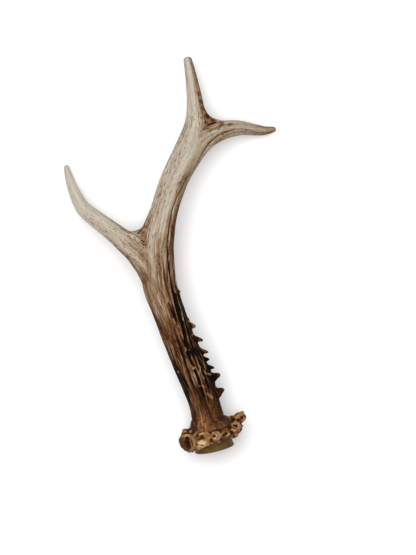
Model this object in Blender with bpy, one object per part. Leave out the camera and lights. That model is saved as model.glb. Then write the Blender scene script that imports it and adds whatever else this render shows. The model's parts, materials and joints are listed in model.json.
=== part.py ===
"""A roe buck's antler, sawn off the skull below its burr and lying on its inner side.

Antler bone grows in one piece from the pedicle, a stub of skull bone: a burr of fused knobs, a beam with
thorns along its back, and three points. It is divided here at its two forks, so each branch is a solid of
its own, with a hair's gap where the next one begins.

The tables below are in millimetres of an antler 230 mm long, measured from the centre of the sawn face
with the antler lying flat: x to the back, y towards the tips and z up.
"""

import math

import bmesh
import bpy
from mathutils import Matrix, Vector

ANTLER_LENGTH = 0.230
UNIT = ANTLER_LENGTH / 230  # one millimetre of the tables, in metres

# Each row of a branch: x, y, z, half its width, half its depth.
BEAM = (
    (-1.6, 7.2, 1.1, 10.5, 10.2),
    (-3.4, 16.0, 2.5, 9.8, 9.4),
    (-5.8, 26.0, 4.2, 9.3, 8.9),
    (-9.6, 38.0, 5.9, 9.9, 9.1),
    (-13.0, 46.0, 6.9, 10.0, 9.2),
    (-21.3, 65.4, 8.9, 9.5, 9.1),
    (-28.0, 84.0, 10.1, 9.7, 9.3),
    (-32.1, 97.0, 10.6, 10.3, 9.3),
    (-32.8, 114.0, 10.6, 9.6, 8.8),
    (-31.6, 126.0, 10.2, 8.9, 8.2),
    (-29.1, 138.0, 9.4, 8.2, 7.7),
    (-23.5, 155.4, 7.4, 8.3, 7.5),
    (-15.0, 173.2, 4.4, 8.6, 7.1),
    (-10.8, 187.0, 1.6, 7.2, 6.2),
    (-11.1, 199.0, -1.2, 5.2, 5.0),
    (-12.4, 209.0, -3.4, 4.3, 4.1),
    (-14.0, 218.5, -5.6, 3.4, 3.2),
    (-15.7, 225.3, -7.2, 2.5, 2.4),
)
FRONT_TINE = (
    (-31.0, 88.0, 10.4, 7.0, 6.5),
    (-36.3, 102.5, 10.6, 8.3, 7.6),
    (-42.6, 112.6, 10.2, 8.1, 7.2),
    (-50.3, 119.2, 9.0, 6.9, 6.3),
    (-59.0, 126.0, 7.0, 5.7, 5.5),
    (-73.3, 136.9, 0.6, 4.8, 4.5),
    (-78.1, 142.4, -2.9, 4.2, 4.0),
    (-82.6, 151.6, -8.6, 3.2, 3.1),
    (-85.1, 158.8, -13.0, 2.4, 2.3),
    (-86.2, 163.0, -15.6, 1.5, 1.5),
)
REAR_TINE = (
    (-19.0, 160.0, 6.5, 6.0, 5.5),
    (-9.0, 176.6, 3.8, 6.8, 6.2),
    (3.3, 184.4, 0.4, 5.9, 5.4),
    (13.0, 186.3, -3.4, 4.7, 4.5),
    (18.0, 186.2, -5.7, 4.1, 4.0),
    (24.0, 185.4, -9.0, 3.4, 3.2),
    (29.4, 185.1, -12.3, 2.7, 2.5),
    (34.9, 186.2, -15.9, 1.4, 1.4),
)
# Bone filling the two crotches.
FRONT_WEB = (
    (-50.5, 120.3, 8.8, 4.4, 5.4),
    (-46.0, 122.2, 9.3, 4.4, 5.6),
    (-40.6, 123.9, 9.8, 4.4, 5.9),
    (-38.2, 126.5, 9.9, 4.4, 6.0),
    (-34.5, 134.6, 9.6, 4.4, 6.0),
    (-31.0, 142.0, 9.0, 4.4, 5.8),
)
TOP_WEB = (
    (-9.7, 200.0, -1.2, 3.3, 3.6),
    (-8.5, 195.9, -0.2, 3.6, 4.0),
    (-5.0, 190.7, 0.8, 3.6, 4.4),
    (-0.8, 188.5, 0.8, 3.6, 4.4),
    (4.4, 187.4, 0.0, 3.6, 4.0),
    (10.0, 187.0, -2.0, 3.6, 3.7),
)
RING_SIDES = 24
STEP = 1.5  # between the rings of a branch
TIP_LENGTH = 0.8  # of a rounded end, in half-widths

# The thorns up the back of the beam: root, tip, root radius, tip radius.
THORNS = (
    ((-17.5, 72.5, 10.0), (-10.8, 71.0, 10.2), 2.6, 0.6),
    ((-14.0, 64.2, 9.4), (-6.9, 63.0, 9.8), 2.0, 0.9),
    ((-11.5, 58.0, 8.6), (-3.9, 56.2, 9.6), 2.5, 0.8),
    ((-9.5, 53.5, 8.0), (-3.3, 52.0, 8.2), 1.8, 1.1),
    ((-7.5, 48.6, 7.4), (-0.5, 47.3, 7.4), 2.1, 1.0),
    ((-6.0, 42.0, 6.8), (2.6, 43.2, 6.6), 3.4, 1.1),
    ((-4.0, 33.6, 5.6), (5.0, 34.2, 5.6), 3.8, 1.0),
)

# The burr's knobs, round the beam's foot: turn from the back towards the upper side in degrees, distance
# out and along the beam, and radii round, out and along.
KNOBS = (
    (3, 18.8, 3.2, 3.4, 4.0, 3.7),
    (12, 16.2, -1.8, 3.2, 3.0, 3.4),
    (34, 14.6, -2.6, 4.0, 3.8, 3.8),
    (58, 13.6, -3.0, 3.6, 3.6, 3.8),
    (82, 13.4, -2.4, 3.6, 3.4, 4.4),
    (108, 13.6, -1.2, 4.2, 3.4, 4.6),
    (134, 14.2, -0.8, 4.2, 4.0, 5.4),
    (158, 14.8, -0.2, 4.4, 4.6, 6.8),
    (182, 15.0, -0.4, 4.2, 4.8, 6.6),
    (206, 14.4, 0.2, 4.2, 4.4, 5.2),
    (232, 14.2, -0.4, 4.4, 4.2, 4.6),
    (258, 14.6, -1.0, 4.2, 4.2, 4.6),
    (284, 14.6, -0.8, 4.4, 4.2, 4.4),
    (310, 14.8, -1.4, 4.2, 4.0, 4.4),
    (336, 15.6, -0.6, 4.2, 4.2, 4.4),
)
BURR_CENTRE = (-2.0, 9.3, 1.4)
BURR_LEAN = 18.4  # of its axis, towards the front
BASE_TILT = 8.6  # of the foot's axis, up towards the tips
FLARE = ((9.0, 9.2), (10.8, 6.0), (14.0, 3.6), (14.5, -2.0), (11.5, -6.0))  # out, along

PEDICLE_LEAN = 12.5
PEDICLE_PROFILE = ((11.4, 0.0), (11.1, 1.6), (10.6, 4.4), (10.3, 6.9))  # radius, along
PEDICLE_SIDES = 48
PEDICLE_FIT = 0.3  # clear of the burr all round

VOXEL = 0.8
FORKS = (((-39.0, 117.0, 10.0), 24.0), ((-3.0, 183.0, 1.0), 18.0))  # centre, reach of the fillet
FILLET_PASSES = 16
TRIANGLES = 8200

# Where the branches divide: name of what lies beyond, a point on the cut, the way the branch runs.
CUTS = (
    ("front_tine", (-51.5, 120.4, 8.6), (-0.78, 0.60, -0.16)),
    ("upper_beam", (-30.6, 131.0, 9.9), (0.18, 0.98, -0.08)),
    ("top_tine", (-10.6, 195.5, -0.4), (-0.04, 0.97, -0.22)),
    ("rear_tine", (8.6, 185.6, -1.6), (0.92, 0.16, -0.35)),
)
CUT_REACH = 13.0
CUT_GAP = 0.3

# Linear base colour and roughness of each node.
BONE = ((0.46, 0.38, 0.27), 0.55)
STAINED_BONE = ((0.10, 0.045, 0.018), 0.6)
SKULL_BONE = ((0.12, 0.085, 0.035), 0.5)
FINISHES = {
    "lower_beam": STAINED_BONE,
    "upper_beam": BONE,
    "front_tine": BONE,
    "top_tine": BONE,
    "rear_tine": BONE,
    "pedicle": SKULL_BONE,
}


def clear_scene():
    for obj in list(bpy.data.objects):
        bpy.data.objects.remove(obj, do_unlink=True)


def add_object(name, mesh):
    """An object of a mesh, or of a bmesh, which is freed."""
    if isinstance(mesh, bmesh.types.BMesh):
        made = bpy.data.meshes.new(name)
        mesh.to_mesh(made)
        mesh.free()
        mesh = made
    obj = bpy.data.objects.new(name, mesh)
    bpy.context.scene.collection.objects.link(obj)
    return obj


def evaluated_mesh(obj):
    """The mesh of an object with its modifiers applied. The object goes."""
    graph = bpy.context.evaluated_depsgraph_get()
    mesh = bpy.data.meshes.new_from_object(obj.evaluated_get(graph), depsgraph=graph)
    bpy.data.objects.remove(obj, do_unlink=True)
    return mesh


def foot_axes(lean):
    """Directions at the antler's foot as a matrix: to the back, up from the table, and along its axis."""
    lean, tilt = math.radians(lean), math.radians(BASE_TILT)
    along = Vector((-math.sin(lean) * math.cos(tilt), math.cos(lean) * math.cos(tilt), math.sin(tilt)))
    back = along.cross(Vector((0, 0, 1))).normalized()
    return Matrix((back, back.cross(along), along)).transposed()


def curve_through(rows, step):
    """Catmull-Rom points through the rows, about a step apart. Every column is curved alike."""
    ends = [2 * a - b for a, b in zip(rows[0], rows[1])], [2 * a - b for a, b in zip(rows[-1], rows[-2])]
    padded = [ends[0], *rows, ends[1]]
    points = []
    for p0, p1, p2, p3 in zip(padded, padded[1:], padded[2:], padded[3:]):
        count = max(1, round((Vector(p2[:3]) - Vector(p1[:3])).length / step))
        for t in (k / count for k in range(count)):
            points.append([
                b + 0.5 * t * (c - a + t * (2 * a - 5 * b + 4 * c - d + t * (3 * (b - c) + d - a)))
                for a, b, c, d in zip(p0, p1, p2, p3)
            ])
    return points + [list(rows[-1])]


def add_rings(bm, rings):
    """Bridges loops of points into a closed tube with flat ends."""
    loops = [[bm.verts.new(point) for point in ring] for ring in rings]
    for low, high in zip(loops, loops[1:]):
        for k in range(len(low)):
            j = (k + 1) % len(low)
            bm.faces.new((low[k], low[j], high[j], high[k]))
    bm.faces.new(reversed(loops[0]))
    bm.faces.new(loops[-1])


def add_branch(bm, rows, step=STEP, round_end=True):
    """A tube of oval rings along the rows, rounded off past the last one."""
    points = curve_through(rows, step)
    if round_end:
        last, before = Vector(points[-1][:3]), Vector(points[-2][:3])
        onward, width, depth = (last - before).normalized(), *points[-1][3:]
        for angle in (math.radians(a) for a in (25, 50, 70, 83)):
            centre = last + onward * TIP_LENGTH * width * math.sin(angle)
            points.append([*centre, width * math.cos(angle), depth * math.cos(angle)])
    rings = []
    for k, (*centre, width, depth) in enumerate(points):
        ahead = Vector(points[min(k + 1, len(points) - 1)][:3])
        along = (ahead - Vector(points[max(k - 1, 0)][:3])).normalized()
        side = along.cross(Vector((0, 0, 1))).normalized()
        up = side.cross(along)
        turns = (math.tau * j / RING_SIDES for j in range(RING_SIDES))
        rings.append([
            (Vector(centre) + side * width * math.cos(a) + up * depth * math.sin(a)) * UNIT for a in turns
        ])
    add_rings(bm, [ring[::-1] for ring in rings])


def add_thorn(bm, root, tip, root_radius, tip_radius):
    middle = [(a + 2 * b) / 3 for a, b in zip(root, tip)]
    middle_radius = 0.4 * root_radius + 0.6 * tip_radius
    rows = (
        (*root, root_radius, root_radius),
        (*middle, middle_radius, middle_radius),
        (*tip, tip_radius, tip_radius),
    )
    add_branch(bm, rows, step=0.8)


def add_burr(bm):
    """The flare at the beam's foot, and the knobs round its rim."""
    axes, centre = foot_axes(BURR_LEAN), Vector(BURR_CENTRE)
    turns = [math.tau * j / PEDICLE_SIDES for j in range(PEDICLE_SIDES)]
    rings = [
        [(centre + axes @ Vector((out * math.cos(a), out * math.sin(a), along))) * UNIT for a in turns]
        for out, along in reversed(FLARE)
    ]
    add_rings(bm, rings)
    for turn, out, along, *radii in KNOBS:
        a = math.radians(turn)
        place = Vector((out * math.cos(a), out * math.sin(a), along))
        swell = Matrix.Diagonal((radii[1], radii[0], radii[2])).to_4x4()
        spin = Matrix.Rotation(a, 4, "Z")
        knob = Matrix.Translation(centre * UNIT) @ axes.to_4x4() @ Matrix.Translation(place * UNIT)
        bmesh.ops.create_icosphere(bm, subdivisions=2, radius=UNIT, matrix=knob @ spin @ swell)


def grown_antler():
    """All of the antler above the pedicle, as one closed skin with the forks filled in."""
    bm = bmesh.new()
    for rows in (BEAM, FRONT_TINE, REAR_TINE, FRONT_WEB, TOP_WEB):
        add_branch(bm, rows)
    for thorn in THORNS:
        add_thorn(bm, *thorn)
    add_burr(bm)
    bmesh.ops.recalc_face_normals(bm, faces=bm.faces)

    raw = add_object("raw_antler", bm)
    fuse = raw.modifiers.new("Fuse", "REMESH")
    fuse.mode = "VOXEL"
    fuse.voxel_size = VOXEL * UNIT
    skin = add_object("skin", evaluated_mesh(raw))

    forks = skin.vertex_groups.new(name="forks")
    for vertex in skin.data.vertices:
        nearness = max(1 - (vertex.co / UNIT - Vector(centre)).length / reach for centre, reach in FORKS)
        if nearness > 0:
            forks.add([vertex.index], min(1.0, 2 * nearness), "REPLACE")
    fillet = skin.modifiers.new("Fillet", "SMOOTH")
    fillet.vertex_group = forks.name
    fillet.iterations = FILLET_PASSES
    ease = skin.modifiers.new("Ease", "SMOOTH")
    ease.iterations = 2
    thin = skin.modifiers.new("Thin", "DECIMATE")
    thin.ratio = TRIANGLES / (2 * len(skin.data.polygons))
    return evaluated_mesh(skin)


def pedicle_rings(spare=0.0):
    """Loops of the pedicle's wall, or of the room that it needs."""
    axes = foot_axes(PEDICLE_LEAN)
    turns = [math.tau * j / PEDICLE_SIDES for j in range(PEDICLE_SIDES)]
    rings = []
    for radius, along in PEDICLE_PROFILE:
        ring = []
        for a in turns:
            out = radius * (1 + 0.025 * math.cos(2 * a + 0.6) + 0.012 * math.cos(3 * a)) + spare
            ring.append(axes @ Vector((out * math.cos(a), out * math.sin(a), along)) * UNIT)
        rings.append(ring)
    if spare:
        along = axes.col[2] * UNIT
        rings[0] = [point - along * 8 for point in rings[0]]
        rings[-1] = [point + along * spare for point in rings[-1]]
    return rings


def pedicle_solid(name, spare=0.0):
    bm = bmesh.new()
    add_rings(bm, pedicle_rings(spare))
    bmesh.ops.recalc_face_normals(bm, faces=bm.faces)
    return add_object(name, bm)


def saw(bm, point, way):
    """Cuts a branch through at a point, caps both ends and draws them apart."""
    point, way = Vector(point) * UNIT, Vector(way).normalized()
    near = [f for f in bm.faces if (f.calc_center_median() - point).length < CUT_REACH * UNIT]
    parts = near + list({e for f in near for e in f.edges}) + list({v for f in near for v in f.verts})
    cut = bmesh.ops.bisect_plane(bm, geom=parts, dist=1e-7, plane_co=point, plane_no=way)
    loop = [e for e in cut["geom_cut"] if isinstance(e, bmesh.types.BMEdge)]
    split = bmesh.ops.split_edges(bm, edges=loop)
    open_edges = {e for e in split["edges"] if e.is_boundary}
    for side in (-1, 1):
        rim = [e for e in open_edges if side * (e.link_faces[0].calc_center_median() - point).dot(way) > 0]
        cap = bmesh.ops.edgeloop_fill(bm, edges=rim)["faces"]
        for vertex in {v for f in cap for v in f.verts}:
            vertex.co += side * way * CUT_GAP / 2 * UNIT


def islands(bm):
    """The vertices of each separate body."""
    left, found = set(bm.verts), []
    while left:
        body, edge = set(), {left.pop()}
        while edge:
            body |= edge
            edge = {e.other_vert(v) for v in edge for e in v.link_edges} - body
        left -= body
        found.append(body)
    return found


def branches():
    """Each branch above the pedicle as an object of its own."""
    bm = bmesh.new()
    bm.from_mesh(grown_antler())
    for _, point, way in CUTS:
        saw(bm, point, way)
    starts = {name: Vector(point) + Vector(way).normalized() * 5 for name, point, way in CUTS}
    starts["lower_beam"] = Vector(BEAM[5][:3])
    bodies = islands(bm)
    bm.verts.index_update()
    made = []
    for name, start in starts.items():
        nearest = min(bm.verts, key=lambda v: (v.co - start * UNIT).length)
        body = {v.index for v in next(body for body in bodies if nearest in body)}
        branch = bm.copy()
        others = [v for v in branch.verts if v.index not in body]
        bmesh.ops.delete(branch, geom=others, context="VERTS")
        made.append(add_object(name, branch))
    bm.free()
    return made


def carve_seat(obj):
    """Hollows the burr for the pedicle to stand in it."""
    cutter = pedicle_solid("pedicle_room", spare=PEDICLE_FIT)
    seat = obj.modifiers.new("Seat", "BOOLEAN")
    seat.operation = "DIFFERENCE"
    seat.solver = "EXACT"
    seat.object = cutter
    mesh = evaluated_mesh(obj)
    bpy.data.objects.remove(cutter, do_unlink=True)
    return add_object("lower_beam", mesh)


def lay_on_table(objects):
    """Moves every mesh so that the antler stands on z = 0 with its box centred on the origin."""
    corners = [v.co for obj in objects for v in obj.data.vertices]
    low = Vector([min(c[k] for c in corners) for k in range(3)])
    high = Vector([max(c[k] for c in corners) for k in range(3)])
    shift = Matrix.Translation((-(low.x + high.x) / 2, -(low.y + high.y) / 2, -low.z))
    for obj in objects:
        obj.data.transform(shift)


def finish(obj):
    colour, roughness = FINISHES[obj.name]
    material = bpy.data.materials.new(obj.name)
    material.use_nodes = True
    shader = material.node_tree.nodes["Principled BSDF"]
    shader.inputs["Base Color"].default_value = (*colour, 1.0)
    shader.inputs["Roughness"].default_value = roughness
    obj.data.materials.clear()
    obj.data.materials.append(material)
    obj.data.shade_smooth()
    obj.data.set_sharp_from_angle(angle=math.radians(50))


def main():
    clear_scene()
    objects = branches()
    lower = next(obj for obj in objects if obj.name == "lower_beam")
    objects.remove(lower)
    lower.name = "whole_lower_beam"
    objects += [carve_seat(lower), pedicle_solid("pedicle")]
    lay_on_table(objects)
    for obj in objects:
        finish(obj)


main()
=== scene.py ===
"""A roe buck's antler, sawn off the skull and lying on its inner side on a pale surface.

It is built the way it grew: the beam and its tines, the thorns and pearls along the beam's back, the burr
round its foot, the fused skin of bone with its grooves and stain, and last the stub of skull below it.
Rows of numbers are in millimetres from the centre of the sawn face: x to the back, y to the tips, z up.
"""

import json
import math

import bmesh
import bpy
import numpy as np
from mathutils import Matrix, Vector, noise


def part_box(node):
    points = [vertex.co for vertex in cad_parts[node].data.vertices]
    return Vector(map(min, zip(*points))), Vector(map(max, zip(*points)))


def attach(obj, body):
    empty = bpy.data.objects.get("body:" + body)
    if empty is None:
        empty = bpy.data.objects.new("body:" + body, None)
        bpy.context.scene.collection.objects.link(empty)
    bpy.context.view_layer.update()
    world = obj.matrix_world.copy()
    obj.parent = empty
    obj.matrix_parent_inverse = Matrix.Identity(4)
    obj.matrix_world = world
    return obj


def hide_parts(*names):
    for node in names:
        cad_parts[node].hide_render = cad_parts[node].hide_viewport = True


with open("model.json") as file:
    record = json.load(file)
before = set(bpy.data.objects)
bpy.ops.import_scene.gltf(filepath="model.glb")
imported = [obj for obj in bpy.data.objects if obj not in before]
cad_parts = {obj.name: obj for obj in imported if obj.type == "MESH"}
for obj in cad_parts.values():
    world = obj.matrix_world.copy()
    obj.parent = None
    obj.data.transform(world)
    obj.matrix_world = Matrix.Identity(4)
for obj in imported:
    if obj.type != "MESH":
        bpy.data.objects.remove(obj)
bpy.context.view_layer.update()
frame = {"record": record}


# ---- Beam and tines ------------------------------------------------------------------------------------
# The beam is one curved shaft of bone from the burr to the top tine. The front and rear tines grow out of
# it, and webs of bone round the two crotches. Each is swept along its own line of oval rings.

MM = 0.001
MOUNTS = {mount["name"]: mount for mount in frame["record"]["mounts"]}
FOOT = Vector(MOUNTS["sawn_face"]["pos_m"])

RING_SPACING = 0.8 * MM
RING_SIDES = 40
GRAIN_RADIUS = 9.0 * MM  # of the straight shaft that the grain is laid out on

# x, y, z, half the width, half the depth, how coarse the grooves are, how dark the stain is
BEAM = (
    (-1.6, 7.2, 1.1, 10.5, 10.2, 0.3, 0.55),
    (-3.4, 16.0, 2.5, 9.6, 9.3, 0.4, 0.57),
    (-5.8, 26.0, 4.2, 9.1, 8.8, 0.6, 0.61),
    (-9.6, 38.0, 5.9, 9.7, 9.0, 0.9, 0.67),
    (-13.0, 46.0, 6.9, 9.8, 9.1, 1.0, 0.67),
    (-21.3, 65.4, 8.9, 9.3, 9.0, 0.9, 0.50),
    (-28.0, 84.0, 10.1, 9.5, 9.2, 0.7, 0.44),
    (-32.1, 97.0, 10.6, 10.1, 9.2, 0.5, 0.40),
    (-32.8, 114.0, 10.6, 9.4, 8.7, 0.4, 0.35),
    (-31.6, 126.0, 10.2, 8.8, 8.1, 0.35, 0.29),
    (-29.1, 138.0, 9.4, 8.0, 7.6, 0.3, 0.22),
    (-23.5, 155.4, 7.4, 8.1, 7.4, 0.3, 0.16),
    (-15.0, 173.2, 4.4, 8.4, 7.0, 0.3, 0.16),
    (-10.8, 187.0, 1.6, 7.0, 6.1, 0.25, 0.15),
    (-11.1, 199.0, -1.2, 5.0, 4.9, 0.15, 0.18),
    (-12.4, 209.0, -3.4, 4.1, 4.0, 0.1, 0.18),
    (-14.0, 218.5, -5.6, 3.2, 3.1, 0.05, 0.16),
    (-16.1, 228.2, -7.9, 2.4, 2.3, 0.0, 0.16),
)
FRONT_TINE = (
    (-31.0, 88.0, 10.4, 7.0, 6.5, 0.5, 0.34),
    (-36.3, 102.5, 10.6, 8.1, 7.5, 0.4, 0.35),
    (-42.6, 112.6, 10.2, 7.9, 7.1, 0.3, 0.29),
    (-50.3, 119.2, 9.0, 6.8, 6.2, 0.2, 0.24),
    (-59.0, 126.0, 7.0, 5.6, 5.4, 0.1, 0.16),
    (-73.3, 136.9, 0.6, 4.7, 4.4, 0.05, 0.09),
    (-78.1, 142.4, -2.9, 4.1, 3.9, 0.0, 0.08),
    (-82.6, 151.6, -8.6, 3.1, 3.0, 0.0, 0.08),
    (-85.1, 158.8, -13.0, 2.3, 2.2, 0.0, 0.08),
    (-86.8, 165.4, -16.0, 1.4, 1.4, 0.0, 0.10),
)
REAR_TINE = (
    (-19.0, 160.0, 6.5, 6.0, 5.5, 0.4, 0.18),
    (-9.0, 176.6, 3.8, 6.7, 6.1, 0.4, 0.20),
    (3.3, 184.4, 0.4, 5.8, 5.3, 0.35, 0.24),
    (13.0, 186.3, -3.4, 4.6, 4.4, 0.2, 0.24),
    (18.0, 186.2, -5.7, 4.0, 3.9, 0.1, 0.24),
    (24.0, 185.4, -9.0, 3.3, 3.1, 0.0, 0.27),
    (29.4, 185.1, -12.3, 2.6, 2.4, 0.0, 0.32),
    (36.1, 186.3, -16.2, 1.3, 1.3, 0.0, 0.34),
)
FRONT_WEB = (
    (-50.5, 120.3, 8.8, 4.4, 5.4),
    (-46.0, 122.2, 9.3, 4.4, 5.6),
    (-40.6, 123.9, 9.8, 4.4, 5.9),
    (-38.2, 126.5, 9.9, 4.4, 6.0),
    (-34.5, 134.6, 9.6, 4.4, 6.0),
    (-31.0, 142.0, 9.0, 4.4, 5.8),
)
TOP_WEB = (
    (-9.7, 200.0, -1.2, 3.3, 3.6),
    (-8.5, 195.9, -0.2, 3.6, 4.0),
    (-5.0, 190.7, 0.8, 3.6, 4.4),
    (-0.8, 188.5, 0.8, 3.6, 4.4),
    (4.4, 187.4, 0.0, 3.6, 4.0),
    (10.0, 187.0, -2.0, 3.6, 3.7),
)
PATH_WORDS = ("half_width", "half_depth", "coarse", "stain")


def add_object(name, mesh):
    obj = bpy.data.objects.new(name, mesh)
    bpy.context.scene.collection.objects.link(obj)
    return obj


def path_object(name, paths, words=PATH_WORDS):
    """Chains of points, one for each path. A row's numbers after the place are kept under these words."""
    rows = [row for path in paths for row in path]
    joins, first = [], 0
    for path in paths:
        joins += [(first + k, first + k + 1) for k in range(len(path) - 1)]
        first += len(path)
    mesh = bpy.data.meshes.new(name)
    mesh.from_pydata([FOOT + Vector(row[:3]) * MM for row in rows], joins, [])
    for column, word in enumerate(words[: len(rows[0]) - 3], start=3):
        unit = 1 if word in ("coarse", "stain") else MM
        values = [row[column] * unit for row in rows]
        mesh.attributes.new(word, "FLOAT", "POINT").data.foreach_set("value", values)
    return add_object(name, mesh)


def add(tree, kind, inputs=(), out=0, **settings):
    """Adds a node and returns one of its outputs. Each input is a value or another node's output."""
    made = tree.nodes.new(kind)
    for setting, value in settings.items():
        setattr(made, setting, value)
    for key, value in dict(inputs).items():
        if isinstance(value, bpy.types.NodeSocket):
            tree.links.new(value, made.inputs[key])
        else:
            made.inputs[key].default_value = value
    return made.outputs[out]


def calc(tree, operation, *values):
    return add(tree, "ShaderNodeMath", enumerate(values), operation=operation)


def vector_calc(tree, operation, *values, out=0):
    return add(tree, "ShaderNodeVectorMath", enumerate(values), out=out, operation=operation)


def product(tree, first, *others):
    for other in others:
        first = calc(tree, "MULTIPLY", first, other)
    return first


def stretch(tree, vector, factor):
    """A vector times a number."""
    return add(tree, "ShaderNodeVectorMath", {0: vector, "Scale": factor}, operation="SCALE")


def smooth_step(tree, value, low, high, start=0.0, end=1.0):
    """Start at low, end at high and an S-curve between them."""
    sockets = {0: value, 1: low, 2: high, 3: start, 4: end}
    return add(tree, "ShaderNodeMapRange", sockets, interpolation_type="SMOOTHSTEP")


def attribute(tree, word, kind="FLOAT"):
    return add(tree, "GeometryNodeInputNamedAttribute", {"Name": word}, data_type=kind)


def store(tree, geometry, word, value, kind="FLOAT"):
    """The geometry with a value kept at each point under this word."""
    sockets = {"Geometry": geometry, "Name": word, "Value": value}
    return add(tree, "GeometryNodeStoreNamedAttribute", sockets, data_type=kind, domain="POINT")


def new_tree(name, inputs):
    """A Geometry Nodes tree with these named inputs: (tree, its input sockets)."""
    tree = bpy.data.node_groups.new(name, "GeometryNodeTree")
    tree.interface.new_socket("Geometry", in_out="OUTPUT", socket_type="NodeSocketGeometry")
    tree.interface.new_socket("Geometry", in_out="INPUT", socket_type="NodeSocketGeometry")
    kinds = {float: "NodeSocketFloat", int: "NodeSocketInt", type(None): "NodeSocketObject"}
    for label, value in inputs.items():
        kind = "NodeSocketMaterial" if label == "Material" else kinds[type(value)]
        socket = tree.interface.new_socket(label, in_out="INPUT", socket_type=kind)
        if value is not None:
            socket.default_value = value
    return tree, tree.nodes.new("NodeGroupInput").outputs


def end_tree(tree, geometry):
    real = add(tree, "GeometryNodeRealizeInstances", {"Geometry": geometry})
    tree.links.new(real, tree.nodes.new("NodeGroupOutput").inputs[0])


def add_tree(obj, tree, **values):
    """Puts the tree on an object. An input's name is written here with _ for a space."""
    modifier = obj.modifiers.new(tree.name, "NODES")
    modifier.node_group = tree
    for item in tree.interface.items_tree:
        value = values.get(item.name.lower().replace(" ", "_"))
        if item.in_out == "INPUT" and value is not None:
            modifier[item.identifier] = value


def made_mesh(obj):
    """The plain mesh of an object with its modifiers applied. The object goes."""
    graph = bpy.context.evaluated_depsgraph_get()
    mesh = bpy.data.meshes.new_from_object(obj.evaluated_get(graph), depsgraph=graph)
    bpy.data.objects.remove(obj, do_unlink=True)
    return mesh


def smooth_curve(tree, chains, spacing):
    """A smooth curve through each chain of points, with points this far apart."""
    curve = add(tree, "GeometryNodeMeshToCurve", {"Mesh": chains})
    curve = add(tree, "GeometryNodeCurveSplineType", {"Curve": curve}, spline_type="CATMULL_ROM")
    return add(tree, "GeometryNodeResampleCurve", {"Curve": curve, "Length": spacing}, mode="LENGTH")


def sweep_tree():
    """Sweeps an oval ring along each path, and rounds its end."""
    tree, given = new_tree("Swept bone", {
        "Ring Spacing": RING_SPACING, "Sides": RING_SIDES, "Tip Length": 2.0 * MM, "Grain Start": 0.0,
    })
    curve = smooth_curve(tree, given["Geometry"], given["Ring Spacing"])
    along = add(tree, "GeometryNodeSplineParameter", out="Length")
    left = calc(tree, "SUBTRACT", add(tree, "GeometryNodeSplineLength"), along)
    curve = store(tree, curve, "along", along)
    curve = store(tree, curve, "left", left)
    curve = store(tree, curve, "centre", add(tree, "GeometryNodeInputPosition"), "FLOAT_VECTOR")
    curve = store(tree, curve, "way", add(tree, "GeometryNodeInputTangent"), "FLOAT_VECTOR")

    ring = add(tree, "GeometryNodeCurvePrimitiveCircle", {"Resolution": given["Sides"], "Radius": 1.0})
    ring = store(tree, ring, "ring", add(tree, "GeometryNodeInputPosition"), "FLOAT_VECTOR")
    sockets = {"Curve": curve, "Profile Curve": ring, "Fill Caps": True}
    mesh = add(tree, "GeometryNodeCurveToMesh", sockets)

    round_x = add(tree, "ShaderNodeSeparateXYZ", {0: attribute(tree, "ring", "FLOAT_VECTOR")})
    round_y = round_x.node.outputs["Y"]
    way = attribute(tree, "way", "FLOAT_VECTOR")
    side = vector_calc(tree, "NORMALIZE", vector_calc(tree, "CROSS_PRODUCT", way, (0, 0, 1)))
    up = vector_calc(tree, "CROSS_PRODUCT", side, way)
    nearness = calc(tree, "DIVIDE", attribute(tree, "left"), given["Tip Length"])
    nearness = calc(tree, "MINIMUM", nearness, 1.0)
    taper = calc(tree, "SQRT", product(tree, nearness, calc(tree, "SUBTRACT", 2.0, nearness)))
    across = product(tree, round_x, taper, attribute(tree, "half_width"))
    high = product(tree, round_y, taper, attribute(tree, "half_depth"))
    place = vector_calc(tree, "ADD", stretch(tree, side, across), stretch(tree, up, high))
    place = vector_calc(tree, "ADD", place, attribute(tree, "centre", "FLOAT_VECTOR"))
    mesh = add(tree, "GeometryNodeSetPosition", {"Geometry": mesh, "Position": place})

    sockets = {
        "X": product(tree, round_x, GRAIN_RADIUS),
        "Y": product(tree, round_y, GRAIN_RADIUS),
        "Z": calc(tree, "ADD", attribute(tree, "along"), given["Grain Start"]),
    }
    mesh = store(tree, mesh, "grain", add(tree, "ShaderNodeCombineXYZ", sockets), "FLOAT_VECTOR")
    end_tree(tree, add(tree, "GeometryNodeFlipFaces", {"Mesh": mesh}))
    return tree


swept_bone = sweep_tree()


def swept(name, paths, tip=2.0, **values):
    """Solid bone along these paths. The tip is the length of its rounded end in millimetres."""
    obj = path_object(name, paths)
    add_tree(obj, swept_bone, tip_length=tip * MM, **values)
    return add_object(name, made_mesh(obj))


# About how far along the beam each tine leaves it. Its grain is counted on from there.
FRONT_TINE_START = 84 * MM
REAR_TINE_START = 160 * MM

beam = swept("beam", [BEAM], tip=1.8)
front_tine = swept("front_tine_form", [FRONT_TINE], tip=1.6, grain_start=FRONT_TINE_START)
rear_tine = swept("rear_tine_form", [REAR_TINE], tip=1.6, grain_start=REAR_TINE_START)
webs = swept("webs", [FRONT_WEB, TOP_WEB])


# ---- Thorns and pearls ---------------------------------------------------------------------------------
# Outgrowths of the beam's own bone: a comb of blunt thorns along its back, with broad roots at the foot,
# and low pearls beside them and on the inner side. Each is grown fast to the beam.

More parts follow.
